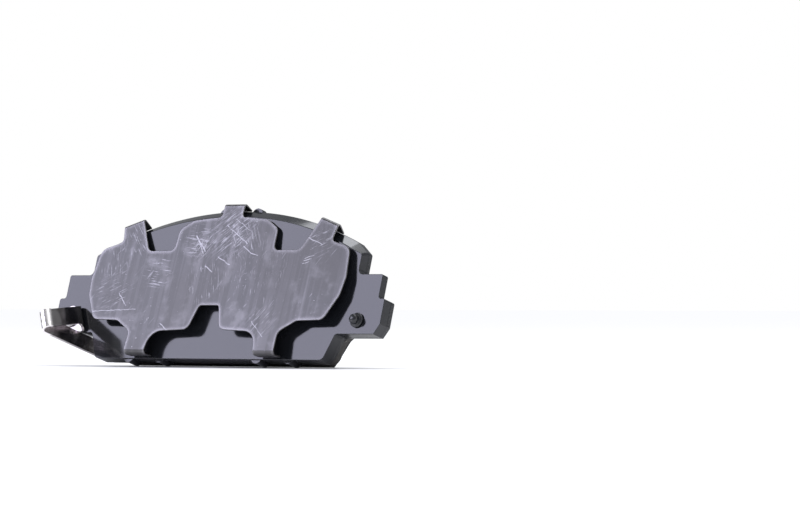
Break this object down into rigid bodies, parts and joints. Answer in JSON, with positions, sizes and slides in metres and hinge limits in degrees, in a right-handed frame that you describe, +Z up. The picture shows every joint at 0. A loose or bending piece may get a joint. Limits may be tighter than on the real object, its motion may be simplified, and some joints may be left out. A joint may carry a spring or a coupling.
{
  "type": "disc brake pad",
  "caption": "Disc brake pad with a steel backing plate, moulded friction lining, clip-on shim and riveted wear indicator",
  "frame": {"origin": "On the surface that the pad stands on, under the middle of its box.", "axes": "X from ear to ear, +Y to the disc side, +Z up. The pad leans back 17 degrees about X, on its lower nibs and the lining's lower edge."},
  "size_m": [0.1514, 0.0502, 0.0576],
  "materials": {
    "plate_paint": "gloss black paint over blanked steel",
    "underlayer_compound": "moulded, matte dark grey",
    "friction_compound": "moulded and ground friction compound, charcoal with fine speckle",
    "shim_steel": "bare rolled stainless sheet, scuffed",
    "shim_rubber": "thin bonded rubber coat, matte black",
    "indicator_steel": "plated spring steel strip, satin bright",
    "rivet_steel": "bare steel with rings left by forming",
    "rivet_paint": "gloss black paint, as the plate"
  },
  "bodies": {
    "pad": {"backing_plate": "plate_paint", "underlayer": "underlayer_compound", "friction_lining": "friction_compound", "wear_indicator": "indicator_steel", "indicator_rivet": "rivet_steel", "spare_rivet": "rivet_paint"},
    "shim": {"outer_shim": "shim_steel", "shim_damping_layer": "shim_rubber"}
  },
  "joints": [
    {"name": "shim_tilt", "type": "hinge", "parent": "pad", "child": "shim", "pos_m": [0, 0.01294, 0.05489], "axis": [-1, 0, 0], "range_deg": [0, 12]}
  ]
}
